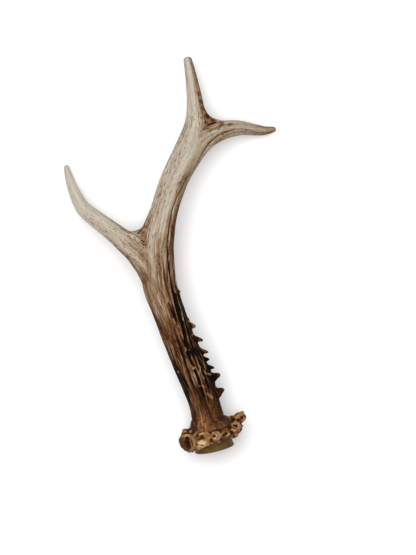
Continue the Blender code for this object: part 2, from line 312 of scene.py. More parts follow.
# The thorns from the fork down, each from its root to its tip: x, y, z, half the width, half the depth.
THORNS = (
    ((-22.6, 91.0, 10.0, 1.7, 1.7), (-20.6, 91.3, 10.4, 1.2, 1.2), (-19.4, 91.5, 10.6, 0.8, 0.8)),
    ((-16.5, 72.0, 10.0, 2.8, 2.4), (-12.5, 71.3, 10.2, 1.5, 1.4), (-10.5, 71.0, 10.3, 0.7, 0.7)),
    ((-14.5, 64.6, 9.4, 2.8, 2.4), (-9.9, 63.7, 9.7, 1.8, 1.6), (-6.2, 62.9, 9.8, 1.0, 0.9)),
    ((-11.5, 57.4, 8.8, 3.0, 2.6), (-6.6, 56.6, 9.4, 1.8, 1.6), (-3.0, 56.1, 9.6, 0.9, 0.9)),
    ((-9.5, 53.2, 8.2, 1.8, 1.8), (-5.0, 52.3, 8.3, 1.3, 1.3), (-2.5, 51.8, 8.4, 1.0, 1.0)),
    ((-7.5, 48.6, 7.4, 2.0, 2.0), (-2.5, 47.5, 7.4, 1.3, 1.3), (0.3, 47.1, 7.4, 0.9, 0.9)),
    ((-7.5, 39.8, 6.8, 4.2, 3.8), (-1.6, 41.4, 6.7, 3.2, 2.8), (1.2, 42.6, 6.7, 1.9, 1.8),
     (3.6, 43.4, 6.6, 1.1, 1.1)),
    ((-4.5, 31.0, 5.6, 4.8, 4.0), (1.0, 32.4, 5.6, 3.6, 3.0), (3.8, 33.9, 5.6, 2.0, 1.9),
     (6.0, 34.7, 5.6, 1.0, 1.0)),
)
thorns = swept("thorns", THORNS, tip=1.0, sides=16, ring_spacing=0.4 * MM)

# Laid down on the bone from above: x, y, half the width, half the depth.
PEARLS = (
    ((-13.6, 53.0, 0.35, 0.3), (-12.6, 49.6, 0.5, 0.5), (-12.1, 47.2, 1.5, 1.5), (-11.8, 45.8, 1.2, 1.2)),
    ((-16.2, 60.2, 0.4, 0.4), (-15.6, 57.6, 1.1, 1.1), (-15.4, 56.6, 0.8, 0.8)),
    ((-4.3, 32.8, 0.6, 0.6), (-2.4, 30.8, 1.2, 1.2), (-1.0, 29.2, 1.2, 1.2)),
    ((-6.8, 43.0, 0.4, 0.4), (-6.1, 41.4, 0.9, 0.8), (-5.6, 40.6, 0.6, 0.6)),
    ((-8.8, 48.4, 0.6, 0.6), (-8.3, 47.4, 1.1, 1.1), (-8.0, 46.6, 0.8, 0.8)),
    ((-20.8, 45.4, 0.6, 0.6), (-20.5, 44.4, 0.9, 0.9)),
    ((-15.2, 74.6, 0.6, 0.6), (-14.9, 73.2, 1.1, 1.1)),
    ((-12.8, 67.0, 0.6, 0.6), (-12.4, 65.8, 1.0, 1.0)),
    ((-5.9, 45.4, 0.6, 0.6), (-4.0, 43.6, 0.75, 0.8), (-1.3, 43.4, 0.75, 0.8), (1.2, 44.4, 0.6, 0.6)),
    ((1.0, 35.6, 0.5, 0.5), (1.4, 34.0, 0.6, 0.6), (3.0, 33.4, 0.6, 0.6), (4.2, 33.9, 0.5, 0.5)),
)


DROP_HEIGHT = 60.0  # over the sawn face's centre, clear of all the bone


def laid(rows):
    """Rows of x, y and more, lifted over the bone, ready to be laid down on it."""
    return tuple((row[0], row[1], DROP_HEIGHT, *row[2:]) for row in rows)


def object_shape(tree, socket):
    sockets = {"Object": socket}
    return add(tree, "GeometryNodeObjectInfo", sockets, out="Geometry", transform_space="RELATIVE")


def laying_tree():
    """Drops each point straight down onto the bone, or to the nearest place on it where it would miss."""
    tree, given = new_tree("Laid on bone", {"Bone": None})
    bone = object_shape(tree, given["Bone"])
    sockets = {"Target Geometry": bone, "Ray Direction": (0, 0, -1), "Ray Length": 1.0}
    hit = add(tree, "GeometryNodeRaycast", sockets, out="Is Hit").node.outputs
    nearest = add(tree, "GeometryNodeProximity", {0: bone}, target_element="FACES")
    sockets = {"Switch": hit["Is Hit"], "False": nearest, "True": hit["Hit Position"]}
    place = add(tree, "GeometryNodeSwitch", sockets, input_type="VECTOR")
    end_tree(tree, add(tree, "GeometryNodeSetPosition", {"Geometry": given["Geometry"], "Position": place}))
    return tree


lay_down = laying_tree()


def laid_sweep(name, paths, bone):
    """Thin bead-like forms that follow the bone under them."""
    obj = path_object(name, [laid(path) for path in paths])
    add_tree(obj, lay_down, bone=bone)
    add_tree(obj, swept_bone, tip_length=0.5 * MM, sides=12, ring_spacing=0.25 * MM)
    return add_object(name, made_mesh(obj))


pearls = laid_sweep("pearls", PEARLS, beam)


MOST_POINTS = 90000.0  # to a square metre, before they are thinned to their spacing


def strewn_points(tree, given, where):
    """Points strewn over the shape where this is 1, and a size for each: (points, size)."""
    points = add(tree, "GeometryNodeDistributePointsOnFaces", {
        "Mesh": given["Geometry"],
        "Distance Min": given["Spacing"],
        "Density Max": MOST_POINTS,
        "Density Factor": where,
        "Seed": given["Seed"],
    }, distribute_method="POISSON")
    sizes = {2: given["Smallest"], 3: given["Largest"], "Seed": given["Seed"]}
    return points, add(tree, "FunctionNodeRandomValue", sizes, out=1, data_type="FLOAT")


def strewn_on(name, shape, tree, **values):
    """What the tree strews over a shape, without the shape."""
    obj = shape.copy()
    bpy.context.scene.collection.objects.link(obj)
    add_tree(obj, tree, **values)
    return add_object(name, made_mesh(obj))


def scattered_tree():
    """Pearls strewn over the beam's inner side, drawn out along it."""
    tree, given = new_tree("Scattered pearls", {
        "Spacing": 3.2 * MM, "Smallest": 0.6 * MM, "Largest": 1.5 * MM, "Lowest": 0.018,
        "Highest": 0.112, "Draw": 1.7, "Seed": 4,
    })
    grain = add(tree, "ShaderNodeSeparateXYZ", {0: attribute(tree, "grain", "FLOAT_VECTOR")})
    hidden = smooth_step(tree, grain.node.outputs["Y"], 0.05 * GRAIN_RADIUS, -0.5 * GRAIN_RADIUS)
    along = grain.node.outputs["Z"]
    low = smooth_step(tree, along, given["Lowest"], calc(tree, "ADD", given["Lowest"], 0.01))
    thinning = calc(tree, "SUBTRACT", given["Highest"], 0.05)
    high = smooth_step(tree, along, thinning, given["Highest"], 1.0, 0.0)
    where = product(tree, hidden, product(tree, low, high))
    points, radius = strewn_points(tree, given, where)
    pearl = add(tree, "GeometryNodeMeshIcoSphere", {"Radius": 1.0, "Subdivisions": 3})
    way = attribute(tree, "way", "FLOAT_VECTOR")
    turn = add(tree, "FunctionNodeAlignRotationToVector", {"Vector": way}, axis="Z")
    size = {0: radius, 1: radius, 2: product(tree, radius, given["Draw"])}
    size = add(tree, "ShaderNodeCombineXYZ", size)
    sockets = {"Points": points, "Instance": pearl, "Rotation": turn, "Scale": size}
    end_tree(tree, add(tree, "GeometryNodeInstanceOnPoints", sockets))
    return tree


scattered = strewn_on("scattered_pearls", beam, scattered_tree())


# ---- Burr ----------------------------------------------------------------------------------------------
# The burr is a crown of fused knobs round the beam's foot, where the bone met the living skin. Its knobs
# are hollowed into cups with sharp rims, and worn pale on top.

# Knobs round the foot: turn from the back over the upper side in degrees, distance out and along the
# foot, and radii round, out and along.
KNOBS = (
    (3, 18.6, 3.2, 3.2, 3.8, 3.5),
    (12, 16.0, -1.4, 3.0, 2.8, 3.2),
    (34, 14.4, -2.4, 3.8, 3.6, 3.6),
    (58, 13.6, -0.8, 3.6, 3.6, 3.4),
    (82, 13.4, -0.2, 3.6, 3.4, 3.4),
    (108, 13.6, 0.2, 4.2, 3.4, 4.0),
    (134, 14.2, -0.6, 4.2, 4.0, 5.2),
    (158, 14.6, -0.2, 4.4, 4.4, 6.4),
    (182, 14.8, -0.4, 4.2, 4.6, 6.2),
    (206, 14.4, 0.2, 4.2, 4.3, 5.0),
    (232, 14.2, -0.4, 4.4, 4.1, 4.5),
    (258, 14.5, -1.0, 4.2, 4.1, 4.5),
    (284, 14.5, -0.8, 4.4, 4.1, 4.3),
    (310, 14.7, -1.4, 4.2, 3.9, 4.3),
    (336, 15.4, -0.6, 4.2, 4.1, 4.3),
)
BURR_CENTRE = (-2.0, 9.3, 1.4)
BURR_LEAN = 18.4  # of its axis, towards the front, in degrees
BASE_TILT = 8.6  # of the foot's axis, up towards the tips
BURR_SIDES = 48
# The flare that carries the knobs: distance out, distance along.
FLARE = ((9.0, 10.2), (10.6, 7.0), (14.0, 4.4), (14.3, -1.6), (11.6, -4.8))

# Rims, beads and horns on the burr's upper side: x, y, half the width, half the depth.
RIMS = (
    ((-19.0, 6.6, 1.0, 1.2), (-17.2, 8.0, 1.1, 1.3), (-14.0, 7.7, 1.0, 1.3), (-12.0, 5.4, 1.1, 1.5),
     (-11.5, 2.4, 1.0, 1.3), (-13.3, -0.4, 1.0, 1.1), (-15.5, -1.4, 0.9, 0.9)),
    ((-17.2, 10.3, 1.3, 1.4), (-16.9, 9.2, 1.5, 1.6)),
    ((-13.8, 9.9, 1.2, 1.4), (-13.2, 8.8, 1.3, 1.4)),
    ((-11.6, 7.6, 0.8, 1.0), (-10.6, 9.4, 0.9, 1.2), (-8.9, 8.9, 0.7, 0.9), (-7.5, 8.8, 0.8, 1.0),
     (-6.2, 9.7, 0.7, 1.0), (-4.9, 10.1, 0.9, 1.2), (-3.3, 9.0, 0.8, 1.0), (-2.0, 8.2, 0.7, 0.9)),
    ((-11.0, 2.4, 1.0, 1.1), (-9.4, 1.2, 1.1, 1.2), (-7.6, 1.2, 1.0, 1.1), (-6.2, 2.2, 1.1, 1.2),
     (-4.6, 2.8, 0.9, 1.0), (-3.0, 3.6, 0.9, 0.9)),
    ((-1.2, 9.0, 0.9, 1.0), (0.4, 10.0, 1.2, 1.4), (2.2, 9.3, 1.4, 1.6), (2.5, 7.4, 1.4, 1.6),
     (1.5, 5.9, 1.0, 1.2), (0.4, 6.0, 0.7, 0.8)),
    ((-3.2, 7.6, 1.0, 1.1), (-2.6, 6.2, 1.1, 1.2)),
    ((-1.9, 4.5, 0.9, 1.0), (-1.3, 3.7, 1.0, 1.0)),
    ((1.8, 4.8, 1.0, 1.0), (3.0, 4.6, 1.1, 1.1)),
    ((7.4, 9.8, 1.3, 1.4), (8.2, 8.3, 1.6, 1.6)),
    ((9.3, 7.6, 1.2, 1.2), (10.4, 6.5, 1.3, 1.2)),
    ((9.7, 13.7, 0.9, 1.1), (10.7, 15.3, 1.0, 1.3), (12.8, 15.4, 1.0, 1.4), (14.3, 13.8, 1.1, 1.4),
     (13.8, 11.6, 1.1, 1.3), (11.6, 10.9, 1.0, 1.2), (9.9, 11.9, 0.9, 1.0)),
    ((15.4, 13.6, 1.4, 1.5), (15.9, 12.4, 1.5, 1.6)),
    ((14.2, 10.4, 1.4, 1.5), (14.6, 9.5, 1.4, 1.4)),
    ((12.0, 9.0, 1.3, 1.4), (12.8, 8.2, 1.3, 1.3)),
    ((7.6, 18.0, 1.2, 1.1), (10.6, 17.8, 1.4, 1.3), (13.0, 18.6, 1.5, 1.6), (15.2, 20.2, 1.6, 1.8),
     (16.6, 21.0, 1.4, 1.5)),
    ((16.4, 17.6, 1.2, 1.4), (17.4, 16.9, 1.3, 1.4)),
)
# Cups hollowed in the burr's upper side: x, y, radius, depth.
CUPS = (
    (-15.6, 3.2, 3.6, 3.0),
    (-15.2, 6.0, 2.2, 1.4),
    (-7.4, 6.2, 3.2, 1.3),
    (-0.2, 7.7, 1.5, 1.0),
    (12.0, 13.2, 2.0, 1.2),
    (9.6, 9.6, 1.5, 0.8),
    (13.6, 16.8, 1.4, 0.6),
    (5.4, 8.4, 1.6, 0.8),
    (17.0, 14.4, 1.3, 1.2),
    (11.2, 7.9, 0.9, 0.8),
    (18.0, 18.6, 1.4, 1.1),
)


def foot_axes(lean):
    """Directions at the antler's foot as a matrix: to the back, up, and along its axis."""
    lean, tilt = math.radians(lean), math.radians(BASE_TILT)
    along = Vector((-math.sin(lean) * math.cos(tilt), math.cos(lean) * math.cos(tilt), math.sin(tilt)))
    back = along.cross(Vector((0, 0, 1))).normalized()
    return Matrix((back, back.cross(along), along)).transposed()


def plain_mesh(name, bm):
    """A mesh of the bmesh, which is freed."""
    mesh = bpy.data.meshes.new(name)
    bm.to_mesh(mesh)
    bm.free()
    return mesh


def bridge(bm, loops):
    """Faces between each loop of points and the next."""
    for low, high in zip(loops, loops[1:]):
        for k in range(len(low)):
            bm.faces.new((low[k], low[k - 1], high[k - 1], high[k]))


def burr_mesh():
    """The flare at the beam's foot with its knobs."""
    bm = bmesh.new()
    axes, centre = foot_axes(BURR_LEAN), FOOT + Vector(BURR_CENTRE) * MM
    turns = [math.tau * k / BURR_SIDES for k in range(BURR_SIDES)]
    loops = []
    for out, along in FLARE:
        ring = [centre + axes @ Vector((out * math.cos(a), out * math.sin(a), along)) * MM for a in turns]
        loops.append([bm.verts.new(point) for point in ring])
    bridge(bm, loops)
    bm.faces.new(loops[0])
    bm.faces.new(reversed(loops[-1]))
    for turn, out, along, *radii in KNOBS:
        a = math.radians(turn)
        place = Vector((out * math.cos(a), out * math.sin(a), along)) * MM
        swell = Matrix.Diagonal((radii[1], radii[0], radii[2])).to_4x4()
        knob = Matrix.Translation(centre) @ axes.to_4x4() @ Matrix.Translation(place)
        spin = Matrix.Rotation(a, 4, "Z")
        bmesh.ops.create_icosphere(bm, subdivisions=3, radius=MM, matrix=knob @ spin @ swell)
    bmesh.ops.recalc_face_normals(bm, faces=bm.faces)
    return plain_mesh("burr", bm)


burr = add_object("burr", burr_mesh())
rims = laid_sweep("rims", RIMS, burr)


def distance_to(tree, shape):
    return add(tree, "GeometryNodeProximity", {0: shape}, out="Distance", target_element="FACES")


def laid_points(name, points, bone):
    """Single points laid down on the bone, each with a reach and a depth."""
    obj = path_object(name, [(point,) for point in laid(points)], ("reach", "depth"))
    add_tree(obj, lay_down, bone=bone)
    return add_object(name, made_mesh(obj))


def cups_tree():
    """Cups strewn over the burr where none were listed: points with a radius and a depth."""
    tree, given = new_tree("Cups round the burr", {
        "Beam": None, "Spacing": 4.2 * MM, "Smallest": 1.2 * MM, "Largest": 2.5 * MM, "Seed": 7,
    })
    off_beam = calc(tree, "GREATER_THAN", distance_to(tree, object_shape(tree, given["Beam"])), 2.0 * MM)
    normal = add(tree, "ShaderNodeSeparateXYZ", {0: add(tree, "GeometryNodeInputNormal")}, out="Z")
    facing_down = calc(tree, "LESS_THAN", normal, 0.1)
    points, radius = strewn_points(tree, given, product(tree, facing_down, off_beam))
    points = add(tree, "GeometryNodePointsToVertices", {"Points": points})
    points = store(tree, points, "reach", radius)
    points = store(tree, points, "depth", product(tree, attribute(tree, "reach"), 0.75))
    end_tree(tree, points)
    return tree


hidden_cups = strewn_on("hidden_cups", burr, cups_tree(), beam=beam)
laid_cups = laid_points("laid_cups", CUPS, burr)


# ---- Skin of bone --------------------------------------------------------------------------------------
# One unbroken skin covers the grown antler. Channels of the blood vessels that fed it run along it, deep
# and black between the thorns and fine as hairs on the tines, and wear has paled what stands proud.

VOXEL = 0.41 * MM

# Channels: x, y, half the width, depth.
GROOVES = (
    ((-14.0, 158.0, 0.3, 0.1), (-19.5, 150.0, 0.5, 0.3), (-22.1, 144.3, 0.6, 0.5), (-24.1, 138.6, 0.7, 0.6),
     (-25.4, 131.9, 0.8, 0.6), (-26.3, 124.8, 0.8, 0.7), (-27.0, 117.7, 0.9, 0.7), (-26.7, 111.0, 0.9, 0.7),
     (-25.9, 104.3, 1.0, 0.8), (-25.2, 99.1, 1.0, 0.8), (-24.1, 93.3, 1.2, 0.9), (-23.0, 88.4, 1.4, 1.0),
     (-21.6, 83.1, 1.7, 1.2), (-20.1, 77.4, 1.8, 1.3), (-18.3, 72.2, 1.5, 1.1), (-17.0, 66.6, 1.4, 1.1),
     (-16.4, 62.2, 1.5, 1.2), (-15.0, 55.6, 1.4, 1.1), (-12.9, 50.5, 1.2, 1.0), (-10.9, 44.9, 1.1, 0.9),
     (-9.2, 40.6, 1.1, 0.9), (-7.4, 34.9, 1.0, 0.8), (-5.6, 30.5, 0.7, 0.4)),
    ((-29.8, 108.8, 0.6, 0.2), (-28.9, 102.1, 0.8, 0.3), (-28.3, 95.5, 0.9, 0.3), (-26.6, 89.7, 0.9, 0.2),
     (-24.8, 84.0, 0.8, 0.2), (-23.4, 79.4, 1.1, 0.5), (-22.6, 76.2, 1.0, 0.5), (-21.4, 72.0, 0.6, 0.2)),
    ((-24.1, 113.2, 0.5, 0.3), (-24.0, 106.6, 0.7, 0.5), (-23.0, 99.9, 0.8, 0.6), (-21.6, 93.3, 0.9, 0.7),
     (-19.7, 87.5, 1.0, 0.8), (-17.0, 82.2, 1.1, 0.8), (-14.9, 76.7, 1.0, 0.7)),
    ((-17.4, 76.0, 0.8, 0.5), (-15.6, 69.4, 1.0, 0.8), (-13.6, 62.6, 1.1, 0.9), (-10.6, 54.4, 1.1, 0.9),
     (-8.2, 50.2, 1.0, 0.7), (-7.2, 46.6, 0.9, 0.7), (-4.9, 39.4, 0.9, 0.6), (-3.2, 35.0, 0.6, 0.3)),
    ((-28.9, 67.7, 0.4, 0.2), (-25.5, 58.2, 0.6, 0.4), (-22.5, 49.4, 0.6, 0.4), (-18.3, 41.6, 0.7, 0.5),
     (-14.2, 34.3, 0.7, 0.5), (-11.4, 28.2, 0.6, 0.4), (-9.4, 22.0, 0.4, 0.2)),
    ((-22.0, 66.0, 0.4, 0.2), (-19.2, 57.6, 0.6, 0.4), (-16.6, 49.2, 0.7, 0.4), (-13.2, 40.0, 0.7, 0.4),
     (-9.8, 32.4, 0.6, 0.4), (-7.4, 25.0, 0.5, 0.3), (-5.9, 19.0, 0.3, 0.2)),
    ((12.0, 185.0, 0.5, 0.3), (5.4, 183.0, 0.7, 0.5), (-1.0, 179.0, 0.8, 0.5), (-6.0, 172.4, 0.8, 0.5),
     (-10.8, 164.0, 0.7, 0.5), (-14.6, 155.6, 0.6, 0.4), (-18.6, 146.4, 0.5, 0.3)),
    ((1.8, 189.6, 0.5, 0.3), (-1.6, 188.6, 0.8, 0.6), (-4.6, 187.4, 0.7, 0.4), (-7.2, 184.4, 0.4, 0.2)),
)
# Thin ridges: x, y, half the width, height.
RIDGES = (
    ((-23.4, 96.0, 0.5, 0.2), (-22.4, 91.4, 0.5, 0.4), (-20.9, 85.8, 0.6, 0.6), (-18.8, 78.9, 0.6, 0.6),
     (-17.3, 72.6, 0.6, 0.6), (-14.8, 65.2, 0.6, 0.6), (-12.6, 59.9, 0.7, 0.7), (-11.3, 55.6, 0.6, 0.6),
     (-9.4, 49.6, 0.6, 0.6), (-8.2, 45.6, 0.6, 0.5)),
    ((-21.0, 91.5, 0.4, 0.2), (-19.3, 86.9, 0.5, 0.5), (-16.8, 81.6, 0.5, 0.5), (-14.9, 77.3, 0.5, 0.5),
     (-13.8, 73.0, 0.4, 0.3)),
    ((-12.4, 64.0, 0.4, 0.3), (-9.9, 58.4, 0.6, 0.6), (-7.3, 53.2, 0.6, 0.7), (-6.1, 49.4, 0.6, 0.6),
     (-5.2, 46.0, 0.5, 0.4)),
    ((-26.2, 65.5, 0.4, 0.2), (-24.2, 58.8, 0.5, 0.3), (-20.6, 50.5, 0.5, 0.4), (-18.2, 44.4, 0.4, 0.2),
     (-15.0, 37.7, 0.5, 0.3), (-12.7, 31.6, 0.4, 0.3), (-9.9, 24.9, 0.3, 0.1)),
    ((-13.6, 53.6, 0.4, 0.3), (-12.6, 49.6, 0.5, 0.5), (-10.6, 43.4, 0.4, 0.3)),
    ((-3.6, 37.4, 0.4, 0.3), (-1.7, 30.6, 0.6, 0.5), (0.4, 24.6, 0.5, 0.3), (2.6, 19.6, 0.4, 0.2)),
    ((-6.4, 34.0, 0.4, 0.3), (-3.6, 25.8, 0.5, 0.3), (-1.2, 18.6, 0.4, 0.2)),
    ((-23.6, 118.0, 0.4, 0.2), (-23.2, 108.0, 0.5, 0.4), (-22.6, 99.0, 0.5, 0.4), (-20.8, 90.0, 0.4, 0.3)),
)
# Where the bone flows round into a tine: front crotch, front tine's underside and top crotch, each with
# x, y, z and radius.
FORKS = ((-40.0, 122.0, 10.0, 17.0), (-41.5, 97.0, 9.0, 10.0), (-3.5, 187.0, 1.0, 14.0))
# Where the bone is painted lighter or darker than round it: x, y, radius, change.
WASHES = (
    (-7.0, 3.0, 5.0, -0.36),
    (1.2, 7.6, 3.0, -0.45),
    (-1.6, 2.6, 2.4, -0.40),
    (3.4, 4.6, 2.4, -0.20),
    (-15.4, 3.0, 4.4, 0.24),
    (12.2, 13.3, 5.0, -0.33),
    (-20.6, 80.5, 2.6, 0.2),
    (-8.8, 206.0, 2.2, 0.16),
    (-7.6, 201.5, 2.5, 0.24),
    (-6.2, 197.6, 2.8, 0.30),
    (-4.0, 193.4, 2.8, 0.34),
    (-0.4, 190.4, 2.8, 0.32),
    (4.2, 189.0, 2.6, 0.24),
    (9.0, 188.4, 2.2, 0.16),
)


def joined(name, objects):
    """One object with the meshes of several, which stay."""
    bm = bmesh.new()
    for obj in objects:
        bm.from_mesh(obj.data)
    return add_object(name, plain_mesh(name, bm))


def lines_tree():
    """Fine points along each path."""
    tree, given = new_tree("Lines on bone", {"Point Spacing": 0.3 * MM})
    curve = smooth_curve(tree, given["Geometry"], given["Point Spacing"])
    end_tree(tree, add(tree, "GeometryNodeCurveToMesh", {"Curve": curve}))
    return tree


draw_lines = lines_tree()


def lines_on_bone(name, paths, bone):
    """Rows of fine points that follow the bone, each with a reach and a depth."""
    obj = path_object(name, [laid(path) for path in paths], ("reach", "depth"))
    add_tree(obj, draw_lines)
    add_tree(obj, lay_down, bone=bone)
    return add_object(name, made_mesh(obj))


def nearest_mark(tree, marks):
    """At each point of the skin, the nearest mark: (distance over its radius, its depth)."""
    place = add(tree, "GeometryNodeInputPosition")
    sockets = {"Geometry": marks, "Sample Position": place}
    index = add(tree, "GeometryNodeSampleNearest", sockets, domain="POINT")

    def of_mark(value, kind="FLOAT"):
        sockets = {"Geometry": marks, "Value": value, "Index": index}
        return add(tree, "GeometryNodeSampleIndex", sockets, data_type=kind)

    mark = of_mark(add(tree, "GeometryNodeInputPosition"), "FLOAT_VECTOR")
    distance = vector_calc(tree, "DISTANCE", place, mark, out="Value")
    share = calc(tree, "DIVIDE", distance, of_mark(attribute(tree, "reach")))
    return share, of_mark(attribute(tree, "depth"))


# Channels in the grain: metres across and along it, seed, and how wide they are in noise values.
WIDE_CHANNELS = (0.0034, 0.040, 1.0, 0.10)
FINE_CHANNELS = (0.0017, 0.018, 5.0, 0.14)
RIPPLE_SIZE = (0.006, 0.030)  # metres across and along the grain
LUMPS_TO_A_METRE = 420.0


def channels(tree, grain, spacing, length, seed, width):
    """1 in the middle of a long thin channel in straightened bone, 0 between channels."""
    vector = vector_calc(tree, "MULTIPLY", grain, (1 / spacing, 1 / spacing, 1 / length))
    sockets = {"Vector": vector, "W": seed, "Scale": 1.0, "Detail": 1.0, "Roughness": 0.4}
    waver = add(tree, "ShaderNodeTexNoise", sockets, noise_dimensions="4D")
    off = calc(tree, "ABSOLUTE", calc(tree, "SUBTRACT", waver, 0.5))
    return smooth_step(tree, off, 0.0, width, 1.0, 0.0)


def blurred(tree, value, passes, weight=1.0, kind="FLOAT_VECTOR"):
    sockets = {"Value": value, "Iterations": passes, "Weight": weight}
    return add(tree, "GeometryNodeBlurAttribute", sockets, data_type=kind)


def skin_tree():
    """Eases the forks, lays out the grain and works the channels, ridges and cups into the surface."""
    tree, given = new_tree("Skin of bone", {
        "Beam": None, "Tines": None, "Grooves": None, "Ridges": None, "Cups": None, "Forks": None,
        "Burr": None, "Rims": None, "Washes": None, "Lumps": 1.1 * MM, "Fork Passes": 55,
        "Fork Blend": 9.0 * MM, "Channel Depth": 0.4 * MM, "Ripple": 0.4 * MM, "Material": None,
    })
    place = add(tree, "GeometryNodeInputPosition")
    normal = add(tree, "GeometryNodeInputNormal")

    def moved(geometry, **socket):
        return add(tree, "GeometryNodeSetPosition", {"Geometry": geometry, **socket})

    off_fork, _ = nearest_mark(tree, object_shape(tree, given["Forks"]))
    near_fork = smooth_step(tree, off_fork, 0.35, 1.0, 1.0, 0.0)
    skin = moved(given["Geometry"], Position=blurred(tree, place, given["Fork Passes"], near_fork))
    skin = moved(skin, Position=blurred(tree, place, 2))

    beam_shape, tine_shape = object_shape(tree, given["Beam"]), object_shape(tree, given["Tines"])

    def of_branch(shape, word, kind="FLOAT"):
        sockets = {"Mesh": shape, "Value": attribute(tree, word, kind)}
        return add(tree, "GeometryNodeSampleNearestSurface", sockets, data_type=kind)

    nearer = calc(tree, "SUBTRACT", distance_to(tree, beam_shape), distance_to(tree, tine_shape))
    nearer = calc(tree, "DIVIDE", nearer, given["Fork Blend"])
    skin = store(tree, skin, "on_tine", smooth_step(tree, nearer, -0.5, 0.5))
    on_tine = attribute(tree, "on_tine")
    for word, shape in (("grain", beam_shape), ("tine_grain", tine_shape)):
        grain = of_branch(shape, "grain", "FLOAT_VECTOR")
        skin = store(tree, skin, word, grain, "FLOAT_VECTOR")
    for word in ("coarse", "stain"):
        sockets = {0: on_tine, 2: of_branch(beam_shape, word), 3: of_branch(tine_shape, word)}
        skin = store(tree, skin, word, blurred(tree, add(tree, "ShaderNodeMix", sockets), 10, kind="FLOAT"))

    grains = [attribute(tree, word, "FLOAT_VECTOR") for word in ("grain", "tine_grain")]

    def on_both(pattern):
        """A pattern on the beam's grain that fades into the same one on the tine's."""
        return add(tree, "ShaderNodeMix", {0: on_tine, 2: pattern(grains[0]), 3: pattern(grains[1])})

    def ripple(grain):
        across, along = RIPPLE_SIZE
        vector = vector_calc(tree, "MULTIPLY", grain, (1 / across, 1 / across, 1 / along))
        sockets = {"Vector": vector, "W": 3.0, "Scale": 1.0, "Detail": 2.0}
        waver = add(tree, "ShaderNodeTexNoise", sockets, noise_dimensions="4D")
        return calc(tree, "SUBTRACT", waver, 0.5)

    coarse = attribute(tree, "coarse")
    wide = on_both(lambda grain: channels(tree, grain, *WIDE_CHANNELS))
    fine = on_both(lambda grain: channels(tree, grain, *FINE_CHANNELS))
    depth = calc(tree, "ADD", product(tree, wide, 0.6), product(tree, fine, 0.4))
    depth = product(tree, depth, coarse, given["Channel Depth"])
    waves = product(tree, on_both(ripple), coarse, given["Ripple"])
    sockets = {"Vector": place, "Scale": LUMPS_TO_A_METRE, "Detail": 2.0}
    lumps = calc(tree, "SUBTRACT", add(tree, "ShaderNodeTexNoise", sockets), 0.5)
    off_burr = distance_to(tree, object_shape(tree, given["Burr"]))
    near_burr = smooth_step(tree, off_burr, 0.5 * MM, 3.0 * MM, 1.0, 0.0)
    skin = store(tree, skin, "burr", near_burr)
    lumps = product(tree, lumps, given["Lumps"], attribute(tree, "burr"))
    height = calc(tree, "ADD", calc(tree, "SUBTRACT", waves, depth), lumps)

    off_groove, groove_depth = nearest_mark(tree, object_shape(tree, given["Grooves"]))
    groove = smooth_step(tree, off_groove, 0.25, 1.1, 1.0, 0.0)
    off_ridge, ridge_height = nearest_mark(tree, object_shape(tree, given["Ridges"]))
    ridge = smooth_step(tree, off_ridge, 0.1, 1.2, 1.0, 0.0)
    height = calc(tree, "SUBTRACT", height, product(tree, groove, groove_depth))
    height = calc(tree, "ADD", height, product(tree, ridge, ridge_height))

    off_cup, cup_depth = nearest_mark(tree, object_shape(tree, given["Cups"]))
    cup = smooth_step(tree, off_cup, 0.2, 1.0, 1.0, 0.0)
    off_lip = calc(tree, "ABSOLUTE", calc(tree, "SUBTRACT", off_cup, 1.05))
    lip = smooth_step(tree, off_lip, 0.0, 0.3, 0.22, 0.0)
    height = calc(tree, "ADD", height, product(tree, calc(tree, "SUBTRACT", lip, cup), cup_depth))
    for word, near, size in (("groove", groove, groove_depth), ("ridge", ridge, ridge_height)):
        skin = store(tree, skin, word, product(tree, near, calc(tree, "DIVIDE", size, MM)))
    skin = store(tree, skin, "cup", cup)
    skin = store(tree, skin, "fork", near_fork)
    off_wash, wash = nearest_mark(tree, object_shape(tree, given["Washes"]))
    wash = product(tree, smooth_step(tree, off_wash, 0.3, 1.0, 1.0, 0.0), wash)
    skin = store(tree, skin, "wash", calc(tree, "DIVIDE", wash, MM))
    skin = store(tree, skin, "channel", calc(tree, "MAXIMUM", wide, product(tree, fine, 0.6)))
    skin = moved(skin, Offset=stretch(tree, normal, height))
    skin = moved(skin, Position=blurred(tree, place, 1))

    off_rim = distance_to(tree, object_shape(tree, given["Rims"]))
    skin = store(tree, skin, "rim", smooth_step(tree, off_rim, 0.1 * MM, 0.7 * MM, 1.0, 0.0))
    # How far the surface stands out from itself blurred a little and blurred much, in millimetres.
    for word, passes in (("proud", 12), ("proud_broad", 90)):
        off_blur = vector_calc(tree, "SUBTRACT", place, blurred(tree, place, passes))
        rise = vector_calc(tree, "DOT_PRODUCT", off_blur, normal, out="Value")
        skin = store(tree, skin, word, calc(tree, "DIVIDE", rise, MM))
    skin = add(tree, "GeometryNodeSetShadeSmooth", {"Geometry": skin})
    end_tree(tree, add(tree, "GeometryNodeSetMaterial", {"Geometry": skin, "Material": given["Material"]}))
    return tree


# The bone's colours from bare and polished to stained black, on the branches and on the burr.
BONE_COLOURS = (
    (0.00, (0.52, 0.475, 0.39)),
    (0.15, (0.40, 0.36, 0.30)),
    (0.30, (0.295, 0.227, 0.163)),
    (0.45, (0.18, 0.108, 0.057)),
    (0.60, (0.104, 0.043, 0.015)),
    (0.75, (0.046, 0.015, 0.004)),
    (0.90, (0.010, 0.004, 0.002)),
    (1.00, (0.003, 0.002, 0.001)),
)
BURR_COLOURS = (
    (0.00, (0.50, 0.36, 0.19)),
    (0.30, (0.34, 0.19, 0.080)),
    (0.55, (0.150, 0.060, 0.020)),
    (0.80, (0.060, 0.022, 0.007)),
    (1.00, (0.026, 0.010, 0.004)),
)
